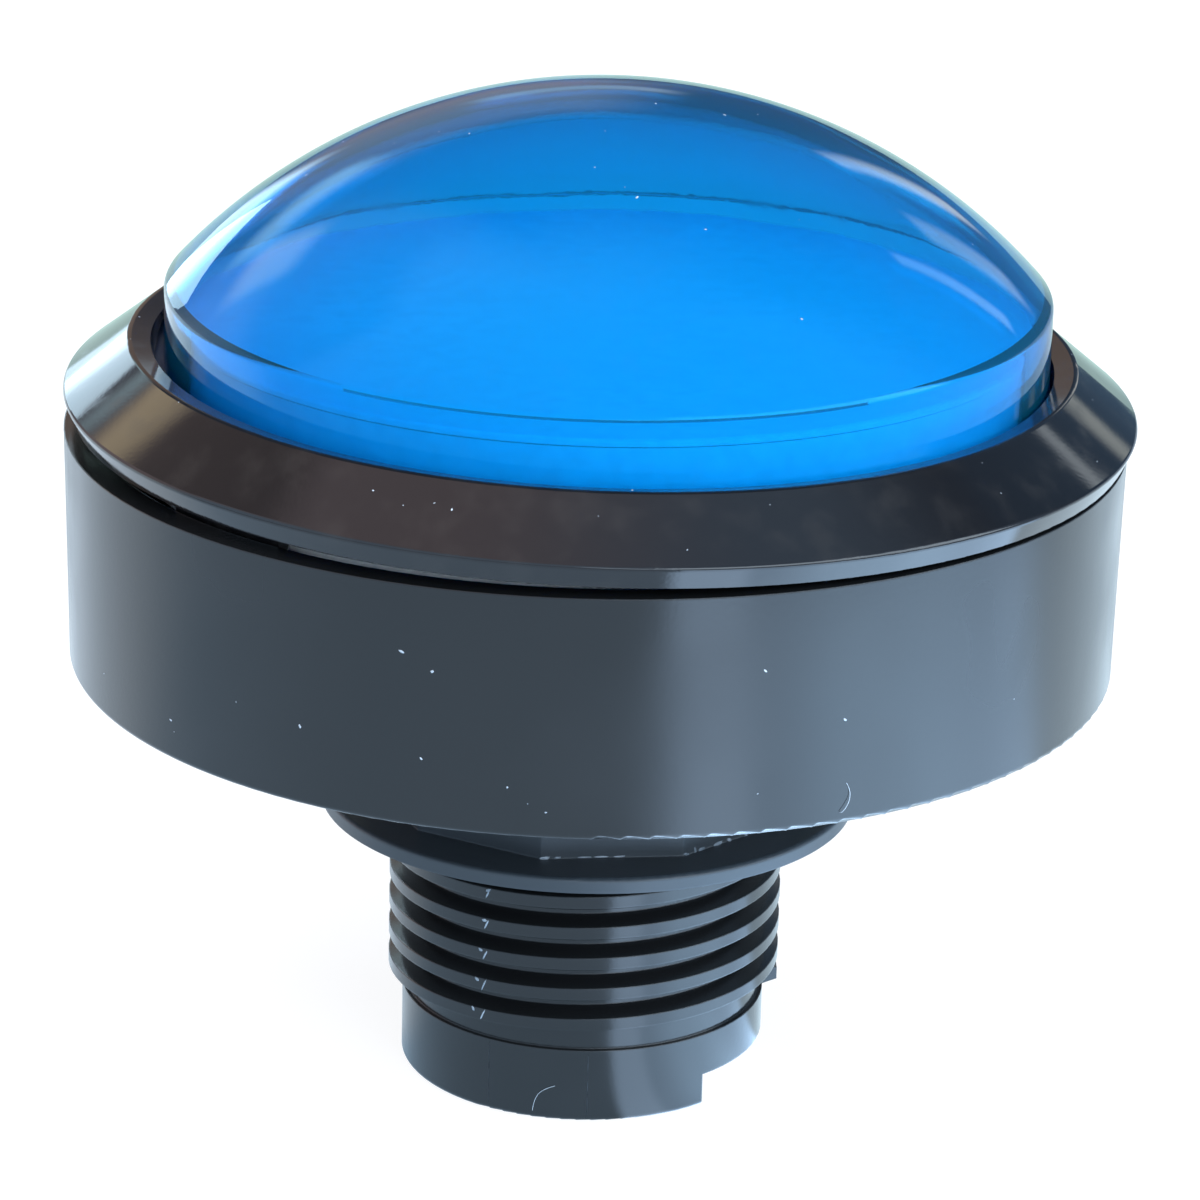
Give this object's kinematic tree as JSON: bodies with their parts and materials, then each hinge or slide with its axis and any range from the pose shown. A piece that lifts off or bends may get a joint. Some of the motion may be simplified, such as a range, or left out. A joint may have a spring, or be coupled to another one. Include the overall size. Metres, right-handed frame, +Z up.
{
  "type": "dome push button quiz buzzer",
  "caption": "Panel-mount quiz buzzer: a clear blue dome button in a conical bezel on a round housing with a threaded stem and nut.",
  "frame": {"origin": "centre of the housing's underside, where it seats on the panel", "axes": "+Z up through the dome, -Z down the threaded stem, -Y towards the viewer, +X to the viewer's right"},
  "size_m": [0.0615, 0.0616, 0.0588],
  "materials": {
    "blue_clear_plastic": "clear tinted, polished",
    "white_plastic": "moulded white",
    "black_gloss_plastic": "high gloss",
    "black_satin_plastic": "satin moulded",
    "spring_steel": "drawn wire and strip",
    "switch_plastic": "moulded",
    "red_plastic": "moulded",
    "contact_brass": "stamped",
    "contact_silver": "silver and tinned",
    "lamp_resin": "clear cast resin",
    "resistor_coat": "lacquer"
  },
  "bodies": {
    "housing": {"housing": "black_satin_plastic", "bezel_ring": "black_gloss_plastic", "return_spring": "spring_steel"},
    "plunger": {"plunger": "white_plastic", "dome_lens": "blue_clear_plastic", "diffuser_disc": "white_plastic"},
    "nut": {"mounting_nut": "black_satin_plastic"},
    "carrier": {"switch_carrier": "white_plastic", "switch_case": "switch_plastic", "switch_cover": "switch_plastic", "lever_pin": "spring_steel", "fixed_contacts": "contact_silver", "common_terminal": "contact_brass", "open_terminal": "contact_brass", "closed_terminal": "contact_brass", "lamp_body": "lamp_resin", "lamp_cup_lead": "contact_silver", "lamp_post_lead": "contact_silver", "lamp_resistor": "resistor_coat"},
    "lever": {"switch_lever": "spring_steel"},
    "button": {"switch_button": "red_plastic"},
    "blade": {"contact_blade": "contact_brass", "moving_contact": "contact_silver"}
  },
  "joints": [
    {"name": "dome_press", "type": "slide", "parent": "housing", "child": "plunger", "axis": [0, 0, -1], "range_m": [0, 0.0035], "stiffness_N_per_m": 430, "springref_m": -0.0023, "deforming": ["return_spring"]},
    {"name": "nut_travel", "type": "slide", "parent": "housing", "child": "nut", "axis": [0, 0, -1], "range_m": [-0.0038, 0.011]},
    {"name": "carrier_twist", "type": "hinge", "parent": "housing", "child": "carrier", "pos_m": [0, 0, -0.0195], "axis": [0, 0, 1], "range_deg": [0, 30]},
    {"name": "lever_swing", "type": "hinge", "parent": "carrier", "child": "lever", "pos_m": [0.0054, 0.00205, -0.0115], "axis": [0, -1, 0], "range_deg": [0, 19.2]},
    {"name": "button_press", "type": "slide", "parent": "carrier", "child": "button", "axis": [0, 0, -1], "range_m": [0, 0.0008]},
    {"name": "blade_swing", "type": "hinge", "parent": "carrier", "child": "blade", "pos_m": [-0.0048, 0.00205, -0.0156], "axis": [0, 1, 0], "range_deg": [0, 5.6]}
  ],
  "couplings": [
    {"joint": "lever_swing", "follows": "dome_press", "rad_per_m": 94.2},
    {"joint": "button_press", "follows": "dome_press", "ratio": 0.2154},
    {"joint": "blade_swing", "follows": "dome_press", "rad_per_m": 26.9}
  ]
}
